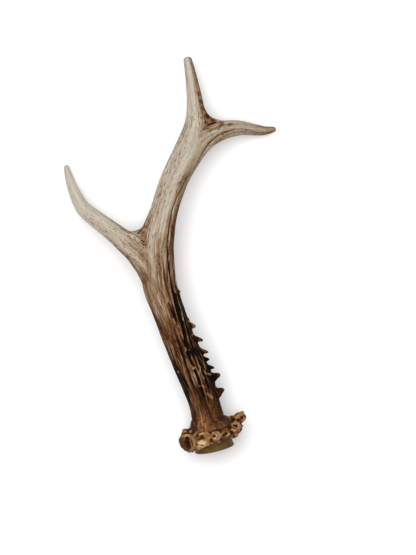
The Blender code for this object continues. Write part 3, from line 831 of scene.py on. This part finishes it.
# Rims and pearls where they are worn least and most, and the palest bare bone of the burr.
WORN_DARK = (0.16, 0.066, 0.022)
WORN_PALE = (0.48, 0.30, 0.14)
CREAM = (0.56, 0.44, 0.25)
# For each layer: metres across and along the grain, detail, and the noise values that become 0 and 1.
GRAIN_LAYERS = {
    "Patches": (0.0070, 0.030, 1.0, 0.35, 0.65),
    "Streaks": (0.0014, 0.014, 3.0, 0.28, 0.72),
    "Hairlines": (0.00055, 0.008, 2.0, 0.30, 0.70),
    "Dashes": (0.00050, 0.0026, 1.5, 0.52, 0.66),
}


def shader_tree(material):
    material.use_nodes = True
    return material.node_tree, material.node_tree.nodes["Principled BSDF"].inputs


def kept(tree, word, out="Fac"):
    """What the mesh keeps at each point under this word."""
    return add(tree, "ShaderNodeAttribute", out=out, attribute_name=word)


def blend(tree, factor, low, high):
    """Low where the factor is 0 and high where it is 1. Each is a colour or another node's output."""
    sockets = {0: factor}
    for key, colour in ((6, low), (7, high)):
        sockets[key] = colour if isinstance(colour, bpy.types.NodeSocket) else (*colour, 1)
    return add(tree, "ShaderNodeMix", sockets, out=2, data_type="RGBA")


def colour_ramp(tree, value, stops):
    ramp = add(tree, "ShaderNodeValToRGB", {0: value})
    elements = ramp.node.color_ramp.elements
    for place, colour in stops[1:-1]:
        elements.new(place)
    for element, (place, colour) in zip(elements, stops):
        element.position = place
        element.color = (*colour, 1.0)
    return ramp


def bone_grain_group():
    """Patches, streaks, hairlines and short dashes along the grain of straightened bone."""
    tree = bpy.data.node_groups.new("Bone grain", "ShaderNodeTree")
    tree.interface.new_socket("Grain", in_out="INPUT", socket_type="NodeSocketVector")
    tree.interface.new_socket("Seed", in_out="INPUT", socket_type="NodeSocketFloat")
    for label in GRAIN_LAYERS:
        tree.interface.new_socket(label, in_out="OUTPUT", socket_type="NodeSocketFloat")
    given = tree.nodes.new("NodeGroupInput").outputs
    result = tree.nodes.new("NodeGroupOutput").inputs
    for label, (spacing, length, detail, low, high) in GRAIN_LAYERS.items():
        sizes = (1 / spacing, 1 / spacing, 1 / length)
        sockets = {
            "Vector": vector_calc(tree, "MULTIPLY", given["Grain"], sizes),
            "W": given["Seed"],
            "Scale": 1.0,
            "Detail": detail,
            "Roughness": 0.6,
        }
        pattern = add(tree, "ShaderNodeTexNoise", sockets, noise_dimensions="4D")
        tree.links.new(smooth_step(tree, pattern, low, high), result[label])
    return tree


bone_grain = bone_grain_group()


def antler_material():
    material = bpy.data.materials.new("antler_bone")
    tree, shader = shader_tree(material)

    def grain_of(word):
        group = tree.nodes.new("ShaderNodeGroup")
        group.node_tree = bone_grain
        tree.links.new(kept(tree, word, "Vector"), group.inputs["Grain"])
        group.inputs["Seed"].default_value = 2.0
        return group.outputs

    beam_grain, tine_grain = grain_of("grain"), grain_of("tine_grain")
    on_tine = kept(tree, "on_tine")
    patches, streaks, hairlines, dashes = (
        add(tree, "ShaderNodeMix", {0: on_tine, 2: beam_grain[label], 3: tine_grain[label]})
        for label in GRAIN_LAYERS
    )
    stain, coarse, proud = (kept(tree, word) for word in ("stain", "coarse", "proud"))

    def weighed(*pairs):
        """The sum of each value times its factor."""
        total = 0.0
        for value, factor in pairs:
            total = calc(tree, "MULTIPLY_ADD", value, factor, total)
        return total

    # Where a point lies on the beam: from its front to its back, and along it from the foot.
    side = add(tree, "ShaderNodeSeparateXYZ", {0: kept(tree, "grain", "Vector")})
    along = side.node.outputs["Z"]
    off_middle = calc(tree, "ABSOLUTE", side)
    # Darker towards both edges of the beam as seen from above: painted shade where its sides turn down from
    # the light.
    flank_shade = smooth_step(tree, off_middle, 0.4 * GRAIN_RADIUS, 0.95 * GRAIN_RADIUS)
    low_beam = smooth_step(tree, along, 0.060, 0.105, 1.0, 0.0)
    off_foot = smooth_step(tree, along, 0.016, 0.048)
    # Darker back: partly stain on the lower beam's pearled back, partly painted shade away from the lamp.
    back = smooth_step(tree, side, 0.10 * GRAIN_RADIUS, 0.80 * GRAIN_RADIUS)
    back = product(tree, back, calc(tree, "SUBTRACT", 1.0, on_tine))
    back = product(tree, back, weighed((low_beam, 0.17), (1.0, 0.19)))
    back = product(tree, back, weighed((off_foot, 0.85), (1.0, 0.15)))
    # Darker along the lower beam's front edge: painted shade at the edge.
    front = smooth_step(tree, side, -0.35 * GRAIN_RADIUS, -0.90 * GRAIN_RADIUS)
    front = product(tree, front, low_beam)

    # How dark the bone is painted, from 0 to 1: its stain, then its grain, then its hollows and what stands
    # proud, with painted shade on its edges, its back side and in the burr's hollows and cups.
    wash = kept(tree, "wash")
    burr_here = kept(tree, "burr")
    base = weighed((stain, 1.0), (wash, 1.0), (back, 1.0), (front, 0.09), (flank_shade, 0.04))
    spread = weighed((base, 1.35), (1.0, 0.04))
    spread = product(tree, spread, weighed((off_foot, 0.35), (1.0, 0.65)))
    uneven = weighed((streaks, 0.55), (hairlines, 0.35), (patches, 0.30), (1.0, -0.60))
    fork = kept(tree, "fork")
    many = weighed((patches, 0.22), (fork, 0.16), (flank_shade, 0.14), (stain, -0.12), (1.0, 0.12))
    # Darker hollows: partly stain gathered in the beam's grooves, and painted shade in the burr's hollows.
    sunken = smooth_step(tree, proud, 0.0, -0.22)
    deep = smooth_step(tree, kept(tree, "proud_broad"), 0.0, -0.9)
    raised = smooth_step(tree, proud, 0.03, 0.25)
    tone = weighed(
        (base, 1.0),
        (uneven, spread),
        (product(tree, dashes, smooth_step(tree, stain, 0.04, 0.15)), many),
        (kept(tree, "channel"), product(tree, coarse, 0.12)),
        (kept(tree, "groove"), weighed((streaks, 0.3), (1.0, 0.25))),
        (kept(tree, "ridge"), product(tree, coarse, -0.60)),
        # Cups and hollows painted darker: shade on the burr, partly stain in the beam's grooves.
        (kept(tree, "cup"), 0.12),
        (sunken, weighed((coarse, 0.3), (burr_here, 0.35))),
        (deep, product(tree, burr_here, 0.3)),
        (raised, product(tree, coarse, -0.18)),
    )
    tone = add(tree, "ShaderNodeClamp", {0: tone})
    ramps = (colour_ramp(tree, tone, stops) for stops in (BONE_COLOURS, BURR_COLOURS))
    colour = blend(tree, burr_here, *ramps)

    bare = smooth_step(tree, wash, -0.12, -0.45)
    bare = product(tree, bare, smooth_step(tree, proud, -0.35, 0.0))
    bare = product(tree, bare, weighed((dashes, -0.45), (streaks, -0.35), (1.0, 1.1)))
    colour = blend(tree, bare, colour, CREAM)
    wear = weighed((streaks, 0.45), (smooth_step(tree, proud, 0.1, 0.6), 0.6))
    rim = product(tree, kept(tree, "rim"), smooth_step(tree, proud, -0.02, 0.16))
    colour = blend(tree, rim, colour, blend(tree, wear, WORN_DARK, WORN_PALE))
    tree.links.new(colour, shader["Base Color"])
    tree.links.new(smooth_step(tree, tone, 0.0, 1.0, 0.45, 0.65), shader["Roughness"])
    height = weighed((hairlines, -0.5), (streaks, -0.5), (dashes, -0.5))
    bump = add(tree, "ShaderNodeBump", {"Height": height, "Distance": 0.12 * MM, "Strength": 0.6})
    tree.links.new(bump, shader["Normal"])
    shader["Specular IOR Level"].default_value = 0.03
    return material


bone = joined("raw_bone", [beam, front_tine, rear_tine, webs, thorns, pearls, scattered, burr, rims])
tines = joined("tines", [front_tine, rear_tine])
form = joined("form", [beam, front_tine, rear_tine, webs])
grooves = lines_on_bone("grooves", GROOVES, form)
ridges = lines_on_bone("ridges", RIDGES, form)
washes = laid_points("washes", WASHES, bone)
worn_tops = joined("worn_tops", [rims, pearls])
cups = joined("cups", [laid_cups, hidden_cups])
forks = path_object("forks", [(point,) for point in FORKS], ("reach",))

fuse = bone.modifiers.new("Fuse", "REMESH")
fuse.mode = "VOXEL"
fuse.voxel_size = VOXEL
add_tree(
    bone, skin_tree(), beam=beam, tines=tines, burr=burr, rims=worn_tops, grooves=grooves, ridges=ridges,
    cups=cups, forks=forks, washes=washes, material=antler_material(),
)
skin = made_mesh(bone)
helpers = (
    beam, front_tine, rear_tine, webs, thorns, pearls, scattered, burr, rims, laid_cups, hidden_cups,
    tines, form, grooves, ridges, washes, worn_tops, cups, forks,
)
for helper in helpers:
    bpy.data.objects.remove(helper, do_unlink=True)

# Where each branch begins: a point, and the way the branch grows there.
CUTS = (
    ((-51.5, 120.4, 8.6), (-0.78, 0.60, -0.16)),
    ((-30.6, 131.0, 9.9), (0.18, 0.98, -0.08)),
    ((-10.6, 195.5, -0.4), (-0.04, 0.97, -0.22)),
    ((8.6, 185.6, -1.6), (0.92, 0.16, -0.35)),
)
CUT_REACH = 13 * MM  # round the point, so that the plane cuts no other branch
SLOTS = {
    "lower_beam": "stained_bone",
    "upper_beam": "beam_bone",
    "front_tine": "tine_bone",
    "rear_tine": "tine_bone",
    "top_tine": "tine_bone",
}


def saw(bm, point, way):
    """Cuts a branch through on a plane at this point, and closes both ends with flat faces."""
    point = FOOT + Vector(point) * MM
    faces = [face for face in bm.faces if (face.calc_center_median() - point).length < CUT_REACH]
    edges = {edge for face in faces for edge in face.edges}
    verts = {vert for face in faces for vert in face.verts}
    parts = [*verts, *edges, *faces]
    way = Vector(way).normalized()
    cut = bmesh.ops.bisect_plane(bm, geom=parts, dist=1e-7, plane_co=point, plane_no=way)
    edges = [item for item in cut["geom_cut"] if isinstance(item, bmesh.types.BMEdge)]
    bmesh.ops.split_edges(bm, edges=edges)
    edges = [edge for edge in bm.edges if edge.is_boundary]
    caps = bmesh.ops.edgeloop_fill(bm, edges=edges)["faces"]
    for face in caps:
        face.smooth = False


def islands(bm):
    """Groups of faces that hold together."""
    left = set(bm.faces)
    for first in list(bm.faces):
        if first not in left:
            continue
        left.remove(first)
        group, reached = set(), [first]
        while reached:
            face = reached.pop()
            group.add(face)
            near = {other for edge in face.edges for other in edge.link_faces} & left
            left -= near
            reached += near
        yield group


def even_normals(mesh):
    """Keeps the uncut skin's normals on the rounded faces, so that the joints don't show."""
    kept_normals = np.empty(len(mesh.vertices) * 3, np.float32)
    mesh.attributes["even"].data.foreach_get("vector", kept_normals)
    kept_normals = kept_normals.reshape(-1, 3)
    corners = np.empty(len(mesh.loops), np.int32)
    mesh.loops.foreach_get("vertex_index", corners)
    normals = kept_normals[corners]
    for face in mesh.polygons:
        if not face.use_smooth:
            normals[face.loop_start : face.loop_start + face.loop_total] = face.normal
    mesh.normals_split_custom_set(normals)


even = np.empty(len(skin.vertices) * 3, np.float32)
skin.vertex_normals.foreach_get("vector", even)
skin.attributes.new("even", "FLOAT_VECTOR", "POINT").data.foreach_set("vector", even)
whole = bmesh.new()
whole.from_mesh(skin)
for cut in CUTS:
    saw(whole, *cut)
# A part is the branch whose box in the plain model has its middle nearest the part's own.
middles = {node: sum((Vector(corner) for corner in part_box(node)), Vector()) / 2 for node in SLOTS}
for faces in islands(whole):
    part = whole.copy()
    numbers = {face.index for face in faces}
    gone = [face for face in part.faces if face.index not in numbers]
    bmesh.ops.delete(part, geom=gone, context="FACES")
    mesh = plain_mesh("part", part)
    mesh.materials.append(skin.materials[0])
    low = Vector([min(vert.co[k] for vert in mesh.vertices) for k in range(3)])
    high = Vector([max(vert.co[k] for vert in mesh.vertices) for k in range(3)])
    node = min(middles, key=lambda name: (middles[name] - (low + high) / 2).length)
    even_normals(mesh)
    piece = add_object(node + "_bone", mesh)
    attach(piece, "root")
    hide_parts(node)
whole.free()


# ---- Pedicle -------------------------------------------------------------------------------------------
# The stub of skull that the antler stood on, sawn straight across. It is smooth bone, darkened by age, and
# the sawn face shows a hard wall round a spongy core.

PEDICLE_LEAN = 12.5  # of its axis, towards the front, in degrees
# Down the wall and round its sawn edge: radius, distance along.
PEDICLE_WALL = (
    (10.3, 6.9), (10.6, 4.4), (11.1, 1.6), (11.3, 0.6), (11.36, 0.35), (11.3, 0.12), (11.1, 0.0),
)
PEDICLE_SIDES = 160
WALL_STEP = 0.35  # between the wall's rings
FACE_RINGS = 60
HARD_RIM = 0.84  # of the radius, where the hard wall ends and the sponge begins
RIM_FADE = 0.06
SPONGE_DEPTH = 0.6
SPONGE_SEED = 5  # of the noise that bends the cells
SPONGE_CELLS = 1.1  # to a millimetre
CELL_WALL = 0.12  # thickness of the bone between two cells, as a share of a cell
CELL_SLOPE = 2.6  # how steeply a cell's side goes down
OVAL = 0.025  # how far the pedicle is out of round, as a share of its radius
LOBES = 0.012  # and how far its three faint corners stand out


def pedicle_mesh():
    """The wall and the sawn face, with how spongy it is, what is wall and the distance along."""
    noise.seed_set(SPONGE_SEED)
    bm = bmesh.new()
    axes = foot_axes(PEDICLE_LEAN)
    sponge = bm.verts.layers.float.new("sponge")
    wall = bm.verts.layers.float.new("wall")
    lengthwise = bm.verts.layers.float.new("lengthwise")

    def ring(radius, along, depth_at=None):
        loop = []
        for k in range(PEDICLE_SIDES):
            a = math.tau * k / PEDICLE_SIDES
            out = radius * (1 + OVAL * math.cos(2 * a + 0.6) + LOBES * math.cos(3 * a))
            x, y = out * math.cos(a), out * math.sin(a)
            depth = depth_at(x, y) if depth_at else 0.0
            vert = bm.verts.new(FOOT + axes @ Vector((x, y, along + depth)) * MM)
            vert[sponge] = depth / SPONGE_DEPTH
            vert[wall] = 0.0 if depth_at else 1.0
            vert[lengthwise] = along
            loop.append(vert)
        return loop

    def pits(share):
        """The depth of the sponge's open cells at a point of the sawn face."""
        fade = min(1.0, max(0.0, (HARD_RIM - share) / RIM_FADE))

        def depth_at(x, y):
            warp = noise.noise_vector(Vector((x, y, 0)) * 0.5) * 0.5
            near, far, *_ = noise.voronoi((Vector((x, y, 0)) + warp) * SPONGE_CELLS)[0]
            return fade * SPONGE_DEPTH * min(1.0, max(0.0, (far - near - CELL_WALL) * CELL_SLOPE))

        return depth_at

    loops = []
    for (radius, along), (next_radius, next_along) in zip(PEDICLE_WALL, PEDICLE_WALL[1:]):
        steps = max(1, round(abs(along - next_along) / WALL_STEP))
        for step in range(steps):
            t = step / steps
            out = radius + (next_radius - radius) * t
            loops.append(ring(out, along + (next_along - along) * t))
    face_radius = PEDICLE_WALL[-1][0]
    for k in range(FACE_RINGS):
        share = 1 - k / FACE_RINGS
        loops.append(ring(face_radius * share, 0.0, pits(share)))
    bridge(bm, loops)
    middle = ring(0.0, 0.0, pits(0.0))
    centre = middle[0]
    for vert in middle[1:]:
        bm.verts.remove(vert)
    for k in range(PEDICLE_SIDES):
        bm.faces.new((loops[-1][k], loops[-1][k - 1], centre))
    bm.faces.new(loops[0])
    bmesh.ops.recalc_face_normals(bm, faces=bm.faces)
    for face in bm.faces:
        face.smooth = True
    return plain_mesh("pedicle", bm)


def skull_material():
    material = bpy.data.materials.new("skull_bone")
    tree, shader = shader_tree(material)
    place = add(tree, "ShaderNodeTexCoord", out="Object")

    def mottle(scale, detail, low, high):
        sockets = {"Vector": place, "Scale": scale, "Detail": detail, "Roughness": 0.6}
        return smooth_step(tree, add(tree, "ShaderNodeTexNoise", sockets), low, high)

    lengthwise, on_wall = kept(tree, "lengthwise"), kept(tree, "wall")
    wall = blend(tree, mottle(220.0, 3.0, 0.3, 0.7), (0.066, 0.038, 0.011), (0.125, 0.078, 0.025))
    wall = blend(tree, mottle(1400.0, 2.0, 0.58, 0.68), wall, (0.045, 0.022, 0.007))
    # A dark line above the sawn edge, and the edge itself pale.
    off_line = calc(tree, "ABSOLUTE", calc(tree, "SUBTRACT", lengthwise, 0.8))
    wall = blend(tree, smooth_step(tree, off_line, 0.0, 0.28, 0.8, 0.0), wall, (0.030, 0.015, 0.006))
    wall = blend(tree, smooth_step(tree, lengthwise, 0.5, 0.2), wall, (0.20, 0.14, 0.07))
    face = blend(tree, mottle(500.0, 3.0, 0.3, 0.7), (0.25, 0.17, 0.09), (0.42, 0.33, 0.20))
    pitted = smooth_step(tree, kept(tree, "sponge"), 0.15, 0.9)
    face = blend(tree, pitted, face, (0.045, 0.022, 0.010))
    tree.links.new(blend(tree, on_wall, face, wall), shader["Base Color"])
    rough = smooth_step(tree, on_wall, 0.0, 1.0, 0.8, 0.42)
    rough = calc(tree, "MULTIPLY_ADD", mottle(300.0, 2.0, 0.3, 0.7), 0.12, rough)
    tree.links.new(rough, shader["Roughness"])
    # The saw's fine marks across the face.
    sockets = {"Vector": place, "Rotation": (0.15, 0.5, 0.3), "Scale": (120, 120, 2600)}
    lines = add(tree, "ShaderNodeMapping", sockets)
    sawing = add(tree, "ShaderNodeTexNoise", {"Vector": lines, "Scale": 1.0, "Detail": 1.0})
    on_face = product(tree, sawing, smooth_step(tree, on_wall, 0.0, 1.0, 1.0, 0.1))
    bump = add(tree, "ShaderNodeBump", {"Height": on_face, "Distance": 0.1 * MM, "Strength": 0.5})
    tree.links.new(bump, shader["Normal"])
    shader["Specular IOR Level"].default_value = 0.06
    return material


pedicle = add_object("pedicle_bone", pedicle_mesh())
pedicle.data.materials.append(skull_material())
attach(pedicle, "root")
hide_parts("pedicle")


# ---- Stage ---------------------------------------------------------------------------------------------
# A pale table top, a big soft light overhead and a white room. The camera looks straight down.

VIEW_CENTRE = Vector((0.0220, -0.0127, 0.020))
VIEW_HEIGHT = 0.3219
CAMERA_DISTANCE = 2.4
FLOOR_REACH = 3.0
FLOOR_GREY = 0.9
LAMP_POWER = 32
LAMP_SIZE = 1.6
LAMP_PLACE = Vector((-0.2, 0.2, 1.5))
ROOM_LIGHT = 0.45

camera_data = bpy.data.cameras.new("camera")
camera_data.lens = camera_data.sensor_width * CAMERA_DISTANCE / VIEW_HEIGHT
camera = add_object("camera", camera_data)
camera.location = VIEW_CENTRE + Vector((0, 0, CAMERA_DISTANCE))
bpy.context.scene.camera = camera

floor_mesh = bpy.data.meshes.new("floor")
corners = [(x * FLOOR_REACH, y * FLOOR_REACH, 0) for x, y in ((-1, -1), (1, -1), (1, 1), (-1, 1))]
floor_mesh.from_pydata(corners, [], [(0, 1, 2, 3)])
floor = add_object("floor", floor_mesh)
paint = bpy.data.materials.new("pale_floor")
_, shader = shader_tree(paint)
shader["Base Color"].default_value = (FLOOR_GREY, FLOOR_GREY, FLOOR_GREY, 1)
shader["Roughness"].default_value = 0.9
floor.data.materials.append(paint)

lamp_data = bpy.data.lights.new("overhead", "AREA")
lamp_data.energy = LAMP_POWER
lamp_data.size = LAMP_SIZE
lamp = add_object("overhead", lamp_data)
lamp.location = LAMP_PLACE
lamp.rotation_euler = (-LAMP_PLACE).to_track_quat("-Z", "Y").to_euler()

world = bpy.data.worlds.new("room")
world.use_nodes = True
background = world.node_tree.nodes["Background"].inputs
background["Color"].default_value = (1, 1, 1, 1)
background["Strength"].default_value = ROOM_LIGHT
bpy.context.scene.world = world
bpy.context.scene.view_settings.view_transform = "Standard"
